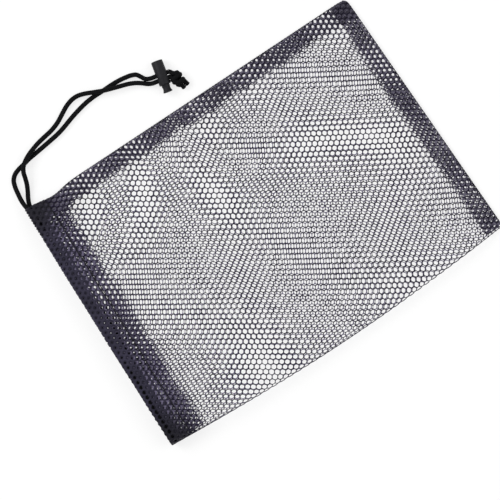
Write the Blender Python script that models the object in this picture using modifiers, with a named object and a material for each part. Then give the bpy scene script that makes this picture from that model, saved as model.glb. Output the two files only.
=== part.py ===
"""Mesh ball bag: a drawstring pouch of black hexagonal net, lying flat with its mouth a little open.

Metres, +Z up. The bag lies on the XY plane. -X is the mouth, +X the sewn closed end, +Y the sewn side,
where the drawcord comes out, and -Y the side where the one piece of net is folded.
"""
import math

import bmesh
import bpy
import numpy as np
from mathutils import Matrix, Vector

MM = 0.001

# Outline of the bag, seen from above
HALF_LENGTH = 155.3 * MM
MOUTH_X = -152.4 * MM  # mouth edge where it crosses the X axis
MOUTH_SLANT = 0.0265  # the mouth edge leans outwards towards the fold
END_X = 153.5 * MM  # closed end where it crosses the X axis
END_SLANT = 0.0205
SEAM_Y = 112.2 * MM  # sewn side
FOLD_Y = -105.0 * MM  # folded side, at its two corners
FOLD_BOW = 6.8 * MM  # the fold bellies out by this much between its corners

# Heights of the lofted bag
NET = 0.8 * MM  # one thickness of net
FLAP = 0.6 * MM  # one thickness of pressed seam allowance
GAP = 0.3 * MM  # between pieces that touch
MOUTH_HEIGHT = 16.0 * MM
MIDDLE_HEIGHT = 11.5 * MM
SEAM_HEIGHT = 3.7 * MM  # four layers of net at a sewn edge
EXIT_HEIGHT = 11.0 * MM  # the two channels stacked where the cord comes out
END_SLOPE = 45.0 * MM  # run over which the front net rises from the closed end
SIDE_SLOPE = 42.0 * MM  # and from the sewn side
EXIT_RUN = 30.0 * MM  # run over which the sewn side drops from the exit
SETTLE_SHARE = 0.6  # share of the length over which the mouth's height settles

# Mouth channel: a flat sleeve of net round the cord
CHANNEL = 18.4 * MM  # mouth edge to stitch line
WALL = 0.6 * MM
CHANNEL_THIN = 1.5 * MM  # sleeve away from the cord
CHANNEL_THICK = 5.4 * MM  # sleeve over the cord
CREST = 1.4 * MM  # half the flat crest over the cord
CREST_RUN = 5.5 * MM  # crest centre to where the sleeve is thin again
CORD_DEPTH = 2.7 * MM  # outer face to the cord's centre
BACK_CORD = 8.0 * MM  # mouth edge to the cord in the back channel
FRONT_CORD = 2.75 * MM
EXIT_CORD = 4.2 * MM  # the back cord at the exit
EXIT_SHIFT = 30.0 * MM  # run over which the back cord drifts to the exit
CHANNEL_END = 108.8 * MM
FOLD_CENTRE = -97.0 * MM  # centre of the channel's turn round the fold
STITCH_GAP = 0.7 * MM  # half the slit that the channel thread lies in

# Seams
THREAD_R = 0.4 * MM
THREAD_DEPTH = 0.75 * MM
EDGE_INSET = 0.4 * MM  # net edge inside the outline
SEAM_THREAD_INSET = 0.8 * MM
SEAM_THREAD_Z = 1.85 * MM
FLAP_INSET = 1.6 * MM
SIDE_FLAP = 15.0 * MM
END_FLAP = 14.0 * MM
HEM_FLAP = 10.7 * MM
FLAP_WAVE = 0.9 * MM  # waviness of the raw side edge
FLAP_WAVES = 5
END_CORNER = 6.0 * MM  # rounding of the closed end's corners
TACK_SIZE = Vector((7.6, 2.0, 7.4)) * MM
TACK_CENTRE = Vector((-138.6, 110.7, 4.2)) * MM

# Drawcord and its lock
CORD_R = 1.9 * MM
LOCK_ANGLE = math.radians(12.6)
LOCK_CENTRE = Vector((-2.6, 139.2, 4.7)) * MM  # where the pair of cords crosses the barrel's axis
PAIR_OFFSET = 2.05 * MM  # each strand from the middle of the pair
BARREL_R = 4.7 * MM  # at the open rim
BARREL_END_R = 4.35 * MM
BARREL_LENGTH = 19.5 * MM
HOLE_FROM_RIM = 6.5 * MM  # rim to the middle of the cord hole
BORE_R = 3.55 * MM
END_WALL = 1.5 * MM
HOLE_LENGTH = 8.2 * MM
HOLE_HEIGHT = 4.5 * MM
TRAVEL = 3.0 * MM  # press of the button
PLUNGER_R = 3.25 * MM
BUTTON_R = 3.75 * MM
BUTTON_OUT = 6.2 * MM  # how far the button stands out of the rim
PLUNGER_TIP = 12.1 * MM  # rim to the plunger's inner end
SPRING_R = 2.6 * MM
SPRING_WIRE_R = 0.25 * MM
SPRING_TURNS = 3.5
KNOT_CENTRE = (10.3 * MM, -3.3 * MM)  # along and across the cords, from the lock's centre
KNOT_RADII = Vector((5.0, 6.4, 4.7)) * MM
TAIL_LENGTH = 4.2 * MM

# Free strands, from the exit to the lock. Each point is x, y, z in millimetres.
STRAND_A = [
    (-146.8, 110.5, 8.5), (-147.5, 114.5, 7.4), (-147.7, 119.5, 5.3), (-147.2, 125.0, 3.1),
    (-146.2, 131.0, 2.0), (-144.3, 136.0, 1.97), (-141.0, 139.2, 1.97), (-136.5, 141.0, 1.97),
    (-131.5, 142.0, 1.97), (-125.5, 143.4, 1.97), (-118.1, 144.3, 1.97), (-109.8, 145.3, 1.97),
    (-101.4, 146.4, 1.97), (-95.5, 147.3, 1.97), (-88.9, 148.9, 1.97), (-80.6, 151.5, 1.97),
    (-72.3, 153.7, 1.97), (-63.9, 155.4, 1.97), (-55.6, 156.1, 1.97), (-47.3, 156.0, 1.97),
    (-38.9, 156.1, 1.97), (-31.5, 155.6, 2.2), (-26.8, 154.8, 2.8), (-22.4, 153.7, 3.4),
    (-18.7, 151.8, 4.1), (-16.6, 148.4, 4.6), (-14.5, 145.0, 4.7),
]
STRAND_B = [
    (-145.2, 110.5, 2.7), (-144.2, 114.5, 2.3), (-142.3, 118.6, 2.0), (-139.8, 122.8, 2.4),
    (-137.3, 127.5, 3.7), (-135.6, 132.0, 5.0), (-134.3, 136.2, 5.9), (-131.9, 140.2, 6.2),
    (-127.8, 143.4, 6.2), (-123.0, 145.9, 6.0), (-117.6, 148.0, 4.8), (-111.4, 149.9, 3.0),
    (-104.8, 151.2, 2.05), (-98.0, 152.4, 1.97), (-90.6, 154.9, 1.97), (-83.9, 158.5, 1.97),
    (-77.0, 162.0, 1.97), (-71.0, 163.6, 2.2), (-65.6, 163.4, 3.1), (-59.8, 161.4, 4.7),
    (-54.0, 158.6, 5.9), (-47.3, 155.6, 6.2), (-39.5, 152.9, 6.0), (-33.5, 151.0, 5.4),
    (-30.0, 149.9, 5.1), (-26.3, 148.5, 4.8), (-22.1, 146.3, 4.7), (-18.5, 143.7, 4.7),
    (-15.1, 140.8, 4.7),
]
STRAIGHT = 9.0 * MM  # straight run of the pair before the lock's centre, so that the lock can slide
STRAND_STEP = 4.5 * MM

LOCK_ALONG = Vector((math.cos(LOCK_ANGLE), -math.sin(LOCK_ANGLE), 0.0))
LOCK_AXIS = Vector((math.sin(LOCK_ANGLE), math.cos(LOCK_ANGLE), 0.0))


# ---------------------------------------------------------------- shape of the bag

def smooth(t):
    t = min(max(t, 0.0), 1.0)
    return t * t * (3.0 - 2.0 * t)


def shoulder(t):
    """0 at a sewn edge, rising to 1 with a round shoulder."""
    return math.sin(0.5 * math.pi * min(max(t, 0.0), 1.0))


def mouth_x(y):
    return MOUTH_X + MOUTH_SLANT * y


def stitch_x(y):
    return mouth_x(y) + CHANNEL


def end_x(y):
    """Closed end, with its two corners rounded off."""
    corner = max(abs(y) - (SEAM_Y - END_CORNER), 0.0)
    return END_X - END_SLANT * y - (END_CORNER - math.sqrt(max(END_CORNER**2 - corner**2, 0.0)))


def fold_y(x):
    return FOLD_Y - FOLD_BOW * math.sin(math.pi * (x + HALF_LENGTH) / (2.0 * HALF_LENGTH))


def loft_height(x):
    """Top of the front net away from the sewn side."""
    run = (x - stitch_x(0.0)) / (END_X - stitch_x(0.0))
    middle = MOUTH_HEIGHT + (MIDDLE_HEIGHT - MOUTH_HEIGHT) * smooth(run / SETTLE_SHARE)
    return SEAM_HEIGHT + (middle - SEAM_HEIGHT) * shoulder((END_X - x) / END_SLOPE)


def front_height(x, y):
    """Top of the front net anywhere."""
    side = SEAM_HEIGHT + (EXIT_HEIGHT - SEAM_HEIGHT) * (1.0 - smooth((x - stitch_x(y)) / EXIT_RUN))
    top = max(loft_height(x), side)
    return side + (top - side) * shoulder((SEAM_Y - y) / SIDE_SLOPE)


def back_cord(y):
    """Distance of the back channel's cord from the mouth edge."""
    return BACK_CORD + (EXIT_CORD - BACK_CORD) * smooth((y - (CHANNEL_END - EXIT_SHIFT)) / EXIT_SHIFT)


# ---------------------------------------------------------------- modelling helpers

def clear_scene():
    for ob in list(bpy.data.objects):
        bpy.data.objects.remove(ob, do_unlink=True)


def collection(name):
    made = bpy.data.collections.new(name)
    bpy.context.scene.collection.children.link(made)
    return made


def material(name, colour, roughness, metallic=0.0):
    made = bpy.data.materials.new(name)
    made.use_nodes = True
    shader = made.node_tree.nodes["Principled BSDF"]
    shader.inputs["Base Color"].default_value = (*colour, 1.0)
    shader.inputs["Roughness"].default_value = roughness
    shader.inputs["Metallic"].default_value = metallic
    return made


def add_object(name, data, look, group):
    ob = bpy.data.objects.new(name, data)
    group.objects.link(ob)
    if look:
        ob.data.materials.append(look)
    return ob


def mesh_object(name, bm, look, group):
    bmesh.ops.recalc_face_normals(bm, faces=bm.faces)
    mesh = bpy.data.meshes.new(name)
    bm.to_mesh(mesh)
    bm.free()
    mesh.shade_smooth()
    mesh.set_sharp_from_angle(angle=math.radians(40.0))
    return add_object(name, mesh, look, group)


def thin_sheet(name, rows, thickness, look, group):
    """An open grid of points, given its thickness downwards or inwards."""
    bm = bmesh.new()
    grid = [[bm.verts.new(p) for p in row] for row in rows]
    for low, high in zip(grid, grid[1:]):
        for a, b, c, d in zip(low, low[1:], high[1:], high):
            bm.faces.new((a, b, c, d))
    mesh = bpy.data.meshes.new(name)
    bm.to_mesh(mesh)
    bm.free()
    mesh.shade_smooth()
    ob = add_object(name, mesh, look, group)
    solid = ob.modifiers.new("thickness", "SOLIDIFY")
    solid.thickness = thickness
    solid.offset = -1.0
    solid.use_even_offset = True
    return ob


def flat_piece(name, outline, low_z, thickness, look, group):
    """A flat piece cut to an outline."""
    curve = bpy.data.curves.new(name, "CURVE")
    curve.dimensions = "2D"
    curve.fill_mode = "BOTH"
    curve.extrude = 0.5 * thickness
    spline = curve.splines.new("POLY")
    spline.points.add(len(outline) - 1)
    for point, (x, y) in zip(spline.points, outline):
        point.co = (x, y, 0.0, 1.0)
    spline.use_cyclic_u = True
    ob = add_object(name, curve, look, group)
    ob.location.z = low_z + 0.5 * thickness
    return ob


def tube(name, points, radius, look, group):
    """A cord, thread or wire along its points."""
    curve = bpy.data.curves.new(name, "CURVE")
    curve.dimensions = "3D"
    curve.bevel_depth = radius
    curve.bevel_resolution = 2
    curve.use_fill_caps = True
    spline = curve.splines.new("POLY")
    spline.points.add(len(points) - 1)
    for point, place in zip(spline.points, points):
        point.co = (*place, 1.0)
    return add_object(name, curve, look, group)


def smooth_route(points, step):
    """Evenly spaced points along a smooth curve through the given ones."""
    places = np.array([tuple(p) for p in points])
    knots = np.concatenate(([0.0], np.cumsum(np.sqrt(np.linalg.norm(np.diff(places, axis=0), axis=1)))))
    ends = (2.0 * places[0] - places[1], 2.0 * places[-1] - places[-2])
    places = np.vstack((ends[0], places, ends[1]))
    knots = np.concatenate(([2.0 * knots[0] - knots[1]], knots, [2.0 * knots[-1] - knots[-2]]))
    fine = []
    for i in range(1, len(places) - 2):
        p, k = places[i - 1:i + 3], knots[i - 1:i + 3]
        for t in np.linspace(k[1], k[2], 12, endpoint=False):
            a = [((k[j + 1] - t) * p[j] + (t - k[j]) * p[j + 1]) / (k[j + 1] - k[j]) for j in range(3)]
            b = [((k[j + 2] - t) * a[j] + (t - k[j]) * a[j + 1]) / (k[j + 2] - k[j]) for j in range(2)]
            fine.append(((k[2] - t) * b[0] + (t - k[1]) * b[1]) / (k[2] - k[1]))
    fine.append(places[-2])
    fine = np.array(fine)
    runs = np.concatenate(([0.0], np.cumsum(np.linalg.norm(np.diff(fine, axis=0), axis=1))))
    wanted = np.linspace(0.0, runs[-1], max(int(round(runs[-1] / step)), 1) + 1)
    return [Vector(tuple(np.interp(w, runs, fine[:, axis]) for axis in range(3))) for w in wanted]


def turned(name, profile, look, group):
    """A solid of revolution round local Z. The profile runs from the top down the outer side."""
    bm = bmesh.new()
    verts = [bm.verts.new((radius, 0.0, z)) for radius, z in profile]
    for a, b in zip(verts, verts[1:]):
        bm.edges.new((a, b))
    mesh = bpy.data.meshes.new(name)
    bm.to_mesh(mesh)
    bm.free()
    ob = add_object(name, mesh, look, group)
    screw = ob.modifiers.new("turn", "SCREW")
    screw.axis = "Z"
    screw.angle = 2.0 * math.pi
    screw.steps = 32
    screw.render_steps = 32
    screw.use_merge_vertices = True
    screw.merge_threshold = 0.00001
    screw.use_smooth_shade = True
    return ob


def slot_cutter(name, length, height, depth, group):
    """A bar with half-round ends, lying along local X, its outline's length along local Z."""
    radius = 0.5 * height
    reach = 0.5 * length - radius
    outline = []
    for centre, start in ((reach, 0.0), (-reach, math.pi)):
        for i in range(9):
            angle = start + math.pi * i / 8
            outline.append((radius * math.cos(angle), centre + radius * math.sin(angle)))
    curve = flat_piece(name, outline, 0.0, depth, None, group)
    curve.matrix_world = Matrix(((0, 0, 1, 0), (1, 0, 0, 0), (0, 1, 0, 0), (0, 0, 0, 1)))
    bpy.context.view_layer.update()
    evaluated = curve.evaluated_get(bpy.context.evaluated_depsgraph_get())
    mesh = bpy.data.meshes.new_from_object(evaluated)
    bm = bmesh.new()
    bm.from_mesh(mesh)
    bmesh.ops.remove_doubles(bm, verts=bm.verts, dist=0.000001)
    bmesh.ops.recalc_face_normals(bm, faces=bm.faces)
    bm.to_mesh(mesh)
    bm.free()
    place = curve.matrix_world.copy()
    bpy.data.objects.remove(curve, do_unlink=True)
    cutter = bpy.data.objects.new(name, mesh)
    group.objects.link(cutter)
    cutter.matrix_world = place
    cutter.hide_render = True
    cutter.display_type = "WIRE"
    return cutter


def cut(ob, cutter):
    boolean = ob.modifiers.new("cord_hole", "BOOLEAN")
    boolean.operation = "DIFFERENCE"
    boolean.solver = "EXACT"
    boolean.object = cutter


# ---------------------------------------------------------------- net panels and fold

def panel_limits(x):
    """Fold-side and seam-side edges of both panels at x."""
    low = fold_y(x) + 0.5 * loft_height(x) + GAP
    return low, SEAM_Y - EDGE_INSET


def panel_point(u, v):
    """Plan position on a panel: u runs from the channel to the closed end, v from fold to seam."""
    y = panel_limits(END_X * (2.0 * u - 1.0))[0] * (1.0 - v) + (SEAM_Y - EDGE_INSET) * v
    left, right = stitch_x(y) + STITCH_GAP, end_x(y) - EDGE_INSET
    x = left + (right - left) * u
    low, high = panel_limits(x)
    return x, low + (high - low) * v


def net_back_panel(look, group):
    steps = 24
    outline = [panel_point(i / steps, 0.0) for i in range(steps + 1)]
    outline += [panel_point(1.0, i / steps) for i in range(1, steps + 1)]
    outline += [panel_point(0.0, 1.0)]
    return flat_piece("net_back_panel", outline, 0.0, NET, look, group)


def net_front_panel(look, group):
    rows = []
    for v in np.linspace(0.0, 1.0, 15) ** 0.8:
        row = []
        for u in 1.0 - (1.0 - np.linspace(0.0, 1.0, 19)) ** 1.3:
            x, y = panel_point(u, v)
            row.append((x, y, front_height(x, y)))
        rows.append(row)
    return thin_sheet("net_front_panel", rows, NET, look, group)


def net_fold_edge(look, group):
    """The net turning from the back up to the front, half round."""
    first = stitch_x(FOLD_Y) + STITCH_GAP
    last = end_x(FOLD_Y) - EDGE_INSET
    rows = []
    for angle in np.linspace(-0.5 * math.pi, 0.5 * math.pi, 9):
        row = []
        for x in np.linspace(first, last, 17):
            radius = 0.5 * loft_height(x)
            row.append((x, fold_y(x) + radius - radius * math.cos(angle), radius + radius * math.sin(angle)))
        rows.append(row)
    return thin_sheet("net_fold_edge", rows, NET, look, group)


# ---------------------------------------------------------------- mouth channel and its cord

def sleeve_section(cord):
    """Outer and inner outlines of the sleeve as (distance from the mouth edge, depth) pairs."""
    last = CHANNEL - STITCH_GAP
    crest = ((cord - CREST, CHANNEL_THICK), (cord + CREST, CHANNEL_THICK), (cord + CREST_RUN, CHANNEL_THIN))
    top = ((0.0, CHANNEL_THIN), *crest, (last, CHANNEL_THIN))
    outer = [(s, 0.0) for s, _ in top] + [(s, depth) for s, depth in reversed(top)]
    edge = CHANNEL_THIN + (CHANNEL_THICK - CHANNEL_THIN) * WALL / (cord - CREST)
    inside = ((WALL, edge), *crest, (last - WALL, CHANNEL_THIN))
    inner = [(s, WALL) for s, _ in inside] + [(s, depth - WALL) for s, depth in reversed(inside)]
    return outer, inner


def sleeve(name, stations, look, group):
    """A sleeve through stations of (cord distance, function from distance and depth to a point)."""
    bm = bmesh.new()
    walls = ([], [])
    for cord, place in stations:
        for wall, section in zip(walls, sleeve_section(cord)):
            wall.append([bm.verts.new(place(s, depth)) for s, depth in section])
    for rings in walls:
        for low, high in zip(rings, rings[1:]):
            for i in range(len(low)):
                j = (i + 1) % len(low)
                bm.faces.new((low[i], low[j], high[j], high[i]))
    outer, inner = walls
    for end in (0, -1):
        for i in range(len(outer[end])):
            j = (i + 1) % len(outer[end])
            bm.faces.new((outer[end][i], outer[end][j], inner[end][j], inner[end][i]))
    return mesh_object(name, bm, look, group)


def back_stations():
    """Heights along the width where the back channel and its cord are shaped."""
    straight = [FOLD_CENTRE + 0.5 * GAP]
    return straight + list(np.linspace(CHANNEL_END - EXIT_SHIFT, CHANNEL_END, 7))


def front_stations():
    return [FOLD_CENTRE + 0.5 * GAP] + list(np.linspace(SEAM_Y - SIDE_SLOPE, CHANNEL_END, 10))


def turn_angles():
    return np.linspace(-0.5 * math.pi, 0.5 * math.pi, 11)


def turn_cord(angle):
    return BACK_CORD + (FRONT_CORD - BACK_CORD) * smooth(angle / math.pi + 0.5)


def turn_point(angle, s, depth):
    """A point of the channel as it goes round the fold."""
    radius = 0.5 * MOUTH_HEIGHT
    y = FOLD_CENTRE - 0.5 * GAP - (radius - depth) * math.cos(angle)
    return mouth_x(y) + s, y, radius + (radius - depth) * math.sin(angle)


def back_place(y):
    return lambda s, depth: (mouth_x(y) + s, y, depth)


def front_place(y):
    top = front_height(stitch_x(y), y)
    return lambda s, depth: (mouth_x(y) + s, y, top - depth)


def turn_place(angle):
    return lambda s, depth: turn_point(angle, s, depth)


def mouth_channel(look, group):
    sleeve("mouth_channel_back", [(back_cord(y), back_place(y)) for y in back_stations()], look, group)
    sleeve("mouth_channel_fold", [(turn_cord(a), turn_place(a)) for a in turn_angles()], look, group)
    sleeve("mouth_channel_front", [(FRONT_CORD, front_place(y)) for y in front_stations()], look, group)


def round_the_mouth(back_s, front_s, depth, end_y):
    """Points of something that runs in the channel from the exit, round the fold and back."""
    points = [(mouth_x(y) + back_s(y), y, depth) for y in reversed(back_stations()) if y < end_y]
    share = [(a, back_s(FOLD_CENTRE) + (front_s - back_s(FOLD_CENTRE)) * smooth(a / math.pi + 0.5))
             for a in turn_angles()]
    points += [turn_point(a, s, depth) for a, s in share]
    for y in front_stations():
        if y < end_y:
            points.append((mouth_x(y) + front_s, y, front_height(stitch_x(y), y) - depth))
    first = (mouth_x(end_y) + back_s(end_y), end_y, depth)
    last = (mouth_x(end_y) + front_s, end_y, front_height(stitch_x(end_y), end_y) - depth)
    return [first, *points, last]


def drawcord_in_channel(look, group):
    points = round_the_mouth(back_cord, FRONT_CORD, CORD_DEPTH, CHANNEL_END + 4 * GAP)
    return tube("drawcord_in_channel", points, CORD_R, look, group)


def channel_thread(look, group):
    points = round_the_mouth(lambda y: CHANNEL, CHANNEL, THREAD_DEPTH, CHANNEL_END - 4 * GAP)
    return tube("channel_thread", points, THREAD_R, look, group)


# ---------------------------------------------------------------- seam allowances and threads

def side_flap(name, low_z, phase, look, group):
    """Allowance of the sewn side, turned inside, with its raw edge a little wavy."""
    first, last = stitch_x(SEAM_Y) + STITCH_GAP, end_x(SEAM_Y - END_CORNER) - FLAP_INSET - GAP
    outer = SEAM_Y - FLAP_INSET
    outline = [(first, outer), (last - END_CORNER, outer), (last, outer - END_CORNER)]
    for share in np.linspace(1.0, 0.0, 41):
        wave = FLAP_WAVE * math.sin(2.0 * math.pi * FLAP_WAVES * share + phase)
        outline.append((first + (last - first) * share, outer - SIDE_FLAP + wave))
    return flat_piece(name, outline, low_z, FLAP, look, group)


def end_flap(name, low_z, look, group):
    """Allowance of the closed end, turned inside, stopping short of the side allowance."""
    ys = np.linspace(fold_y(END_X) + SEAM_HEIGHT + GAP, SEAM_Y - FLAP_INSET - SIDE_FLAP - FLAP_WAVE - GAP, 9)
    outer = [(end_x(y) - FLAP_INSET, y) for y in ys]
    inner = [(END_X - END_SLANT * y - FLAP_INSET - END_FLAP, y) for y in reversed(ys)]
    return flat_piece(name, outer + inner, low_z, FLAP, look, group)


def hem_limits():
    """The hem flaps run between the fold and the side allowance."""
    return FOLD_CENTRE + 0.5 * GAP, SEAM_Y - FLAP_INSET - SIDE_FLAP - FLAP_WAVE - GAP


def channel_hem_back(look, group):
    low, high = hem_limits()
    corners = [(low, STITCH_GAP), (low, HEM_FLAP), (high, HEM_FLAP), (high, STITCH_GAP)]
    outline = [(stitch_x(y) + reach, y) for y, reach in corners]
    return flat_piece("channel_hem_back", outline, NET + GAP, FLAP, look, group)


def channel_hem_front(look, group):
    """The front hem hangs just under the front net."""
    low, high = hem_limits()
    rows = []
    for y in np.linspace(low, high, 12):
        row = []
        for reach in np.linspace(STITCH_GAP + GAP, HEM_FLAP, 4):
            x = stitch_x(y) + reach
            row.append((x, y, front_height(x, y) - NET - 4 * GAP))
        rows.append(row)
    return thin_sheet("channel_hem_front", rows, FLAP, look, group)


def seam_threads(look, group):
    y = SEAM_Y - SEAM_THREAD_INSET
    ends = (stitch_x(y) + 4 * STITCH_GAP, end_x(y - END_CORNER) - END_CORNER)
    side = [(x, y, SEAM_THREAD_Z) for x in np.linspace(*ends, 12)]
    tube("side_seam_thread", side, THREAD_R, look, group)
    ys = np.linspace(fold_y(END_X) + SEAM_HEIGHT, SEAM_Y - END_CORNER - 4 * GAP, 12)
    end = [(end_x(v) - SEAM_THREAD_INSET, v, SEAM_THREAD_Z) for v in ys]
    tube("end_seam_thread", end, THREAD_R, look, group)


def exit_bar_tack(look, group):
    """Dense stitches that close the end of the channel beside the cord's exit."""
    bm = bmesh.new()
    bmesh.ops.create_cube(bm, size=1.0)
    bmesh.ops.scale(bm, vec=TACK_SIZE, verts=bm.verts)
    bmesh.ops.translate(bm, vec=TACK_CENTRE, verts=bm.verts)
    ob = mesh_object("exit_bar_tack", bm, look, group)
    bevel = ob.modifiers.new("round_edges", "BEVEL")
    bevel.width = 0.5 * MM
    bevel.segments = 2
    return ob


# ---------------------------------------------------------------- free cord, knot and lock

def lock_point(along, across, rise=0.0):
    return LOCK_CENTRE + LOCK_ALONG * along + LOCK_AXIS * across + Vector((0.0, 0.0, rise))


def knot_face(across):
    """Distance along the cords at which the knot begins, at a distance across them."""
    share = (across - KNOT_CENTRE[1]) / KNOT_RADII.y
    return KNOT_CENTRE[0] - KNOT_RADII.x * math.sqrt(1.0 - share**2)


def strand(name, route, across, look, group):
    """One free strand, from the channel through the lock to the knot."""
    points = [Vector(p) * MM for p in route]
    last = knot_face(across - CORD_R) - GAP
    points += [lock_point(along, across) for along in np.linspace(-STRAIGHT, last, 5)]
    return tube(name, smooth_route(points, STRAND_STEP), CORD_R, look, group)


def cord_end_knot(look, group):
    bm = bmesh.new()
    bmesh.ops.create_uvsphere(bm, u_segments=20, v_segments=12, radius=1.0)
    ob = mesh_object("cord_end_knot", bm, look, group)
    frame = Matrix((LOCK_ALONG, LOCK_AXIS, Vector((0.0, 0.0, 1.0)))).transposed().to_4x4()
    place = Matrix.Translation(lock_point(*KNOT_CENTRE)) @ frame @ Matrix.Diagonal((*KNOT_RADII, 1.0))
    ob.data.transform(place)
    return ob


def cord_tails(look, group):
    """The two cut ends, side by side under the knot."""
    start = Vector((13.3, -9.8)) * MM
    lean = Vector((0.41, -0.91)).normalized()
    side = Vector((-lean.y, lean.x))
    for name, offset in (("cord_tail_a", -PAIR_OFFSET), ("cord_tail_b", PAIR_OFFSET)):
        points = []
        for share in np.linspace(0.0, 1.0, 4):
            flat = start + side * offset + lean * (TAIL_LENGTH * share)
            points.append(lock_point(flat.x, flat.y, -1.2 * MM - 1.4 * MM * share))
        tube(name, points, CORD_R, look, group)


def lock_frame(name, group):
    """An empty on the lock's axis: local X along the cords, local Z along the barrel to its closed end."""
    frame = bpy.data.objects.new(name, None)
    group.objects.link(frame)
    axes = Matrix((LOCK_ALONG, (0.0, 0.0, -1.0), LOCK_AXIS)).transposed().to_4x4()
    frame.matrix_world = Matrix.Translation(LOCK_CENTRE) @ axes
    return frame


def lock_barrel(look, group):
    top = BARREL_LENGTH - HOLE_FROM_RIM
    rim = -HOLE_FROM_RIM
    edge = 0.6 * MM
    profile = [
        (0.0, top), (BARREL_END_R - edge, top), (BARREL_END_R - 0.3 * edge, top - 0.3 * edge),
        (BARREL_END_R, top - edge), (BARREL_R, rim + edge), (BARREL_R - 0.3 * edge, rim + 0.3 * edge),
        (BARREL_R - edge, rim), (BORE_R, rim), (BORE_R, top - END_WALL), (0.0, top - END_WALL),
    ]
    return turned("lock_barrel", profile, look, group)


def lock_plunger(look, group):
    """Shank, waist and flared button in one."""
    tip = PLUNGER_TIP - HOLE_FROM_RIM
    end = -HOLE_FROM_RIM - BUTTON_OUT
    waist = PLUNGER_R - 0.25 * MM
    edge = 0.4 * MM
    profile = [
        (0.0, tip), (PLUNGER_R - edge, tip), (PLUNGER_R, tip - edge), (PLUNGER_R, end + 4.4 * MM),
        (waist, end + 3.4 * MM), (PLUNGER_R, end + 1.9 * MM), (BUTTON_R, end + 0.6 * MM),
        (BUTTON_R - 0.15 * MM, end + 0.2 * MM), (BUTTON_R - 0.6 * MM, end), (0.0, end),
    ]
    return turned("lock_plunger", profile, look, group)


def lock_spring(look, group):
    """Compression spring between the plunger's tip and the barrel's closed end."""
    margin = GAP + SPRING_WIRE_R
    low = PLUNGER_TIP - HOLE_FROM_RIM + margin
    high = BARREL_LENGTH - HOLE_FROM_RIM - END_WALL - margin
    points = []
    for share in np.linspace(0.0, 1.0, int(SPRING_TURNS * 12) + 1):
        angle = 2.0 * math.pi * SPRING_TURNS * share
        points.append((SPRING_R * math.cos(angle), SPRING_R * math.sin(angle), low + (high - low) * share))
    return tube("lock_spring", points, SPRING_WIRE_R, look, group)


def cord_lock(plastic, steel, group, cutters):
    slide = lock_frame("lock_slide_frame", group)
    press = lock_frame("button_press_frame", group)
    barrel = lock_barrel(plastic, group)
    plunger = lock_plunger(plastic, group)
    spring = lock_spring(steel, group)
    hole = slot_cutter("barrel_hole_cutter", HOLE_LENGTH, HOLE_HEIGHT, 3.0 * BARREL_R, cutters)
    long_hole = slot_cutter("plunger_hole_cutter", HOLE_LENGTH + TRAVEL, HOLE_HEIGHT, 3.0 * BARREL_R, cutters)
    for ob, parent in ((barrel, slide), (spring, slide), (plunger, press), (hole, slide), (long_hole, press)):
        ob.parent = parent
    long_hole.location.z -= 0.5 * TRAVEL
    cut(barrel, hole)
    cut(plunger, long_hole)


def main():
    clear_scene()
    bag = collection("mesh_ball_bag")
    cutters = collection("cutters")
    net = material("net", (0.020, 0.018, 0.026), 0.75)
    flap = material("net_allowance", (0.024, 0.021, 0.031), 0.75)
    thread = material("sewing_thread", (0.008, 0.008, 0.010), 0.55)
    cord = material("drawcord", (0.006, 0.006, 0.007), 0.80)
    plastic = material("lock_plastic", (0.030, 0.030, 0.033), 0.42)
    steel = material("spring_steel", (0.62, 0.62, 0.60), 0.30, 1.0)

    net_back_panel(net, bag)
    net_front_panel(net, bag)
    net_fold_edge(net, bag)
    mouth_channel(net, bag)
    channel_hem_back(flap, bag)
    channel_hem_front(flap, bag)
    for layer, side in enumerate(("back", "front")):
        low_z = NET + GAP + layer * (FLAP + GAP)
        side_flap(f"side_seam_allowance_{side}", low_z, 0.8 * layer, flap, bag)
        end_flap(f"end_seam_allowance_{side}", low_z, flap, bag)
    seam_threads(thread, bag)
    channel_thread(thread, bag)
    exit_bar_tack(thread, bag)
    drawcord_in_channel(cord, bag)
    strand("cord_strand_a", STRAND_A, PAIR_OFFSET, cord, bag)
    strand("cord_strand_b", STRAND_B, -PAIR_OFFSET, cord, bag)
    cord_end_knot(cord, bag)
    cord_tails(cord, bag)
    cord_lock(plastic, steel, bag, cutters)


main()
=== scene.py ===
import math

import bmesh
import bpy
import numpy as np
from mathutils import Matrix, Vector


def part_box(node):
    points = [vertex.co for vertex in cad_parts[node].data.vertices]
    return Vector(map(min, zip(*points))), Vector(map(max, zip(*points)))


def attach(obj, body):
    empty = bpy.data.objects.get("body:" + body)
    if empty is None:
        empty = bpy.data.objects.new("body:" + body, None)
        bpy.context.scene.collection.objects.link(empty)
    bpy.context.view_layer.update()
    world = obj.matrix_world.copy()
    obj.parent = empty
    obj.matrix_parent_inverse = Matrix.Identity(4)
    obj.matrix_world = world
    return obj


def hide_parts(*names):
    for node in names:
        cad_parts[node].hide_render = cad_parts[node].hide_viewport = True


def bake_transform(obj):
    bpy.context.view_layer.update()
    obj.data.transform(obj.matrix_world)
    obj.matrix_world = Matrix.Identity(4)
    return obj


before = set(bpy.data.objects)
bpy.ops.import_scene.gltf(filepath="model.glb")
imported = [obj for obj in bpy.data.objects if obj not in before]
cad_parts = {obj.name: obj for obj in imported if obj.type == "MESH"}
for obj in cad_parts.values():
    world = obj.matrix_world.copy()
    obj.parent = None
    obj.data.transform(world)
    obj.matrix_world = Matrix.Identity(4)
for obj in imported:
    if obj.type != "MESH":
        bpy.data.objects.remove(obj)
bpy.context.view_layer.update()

MM = 0.001
RANDOM = np.random.default_rng(7)

# ---------------------------------------------------------------- the bag's shape, as in the CAD

# Lengths are in millimetres unless a comment says otherwise

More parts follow.
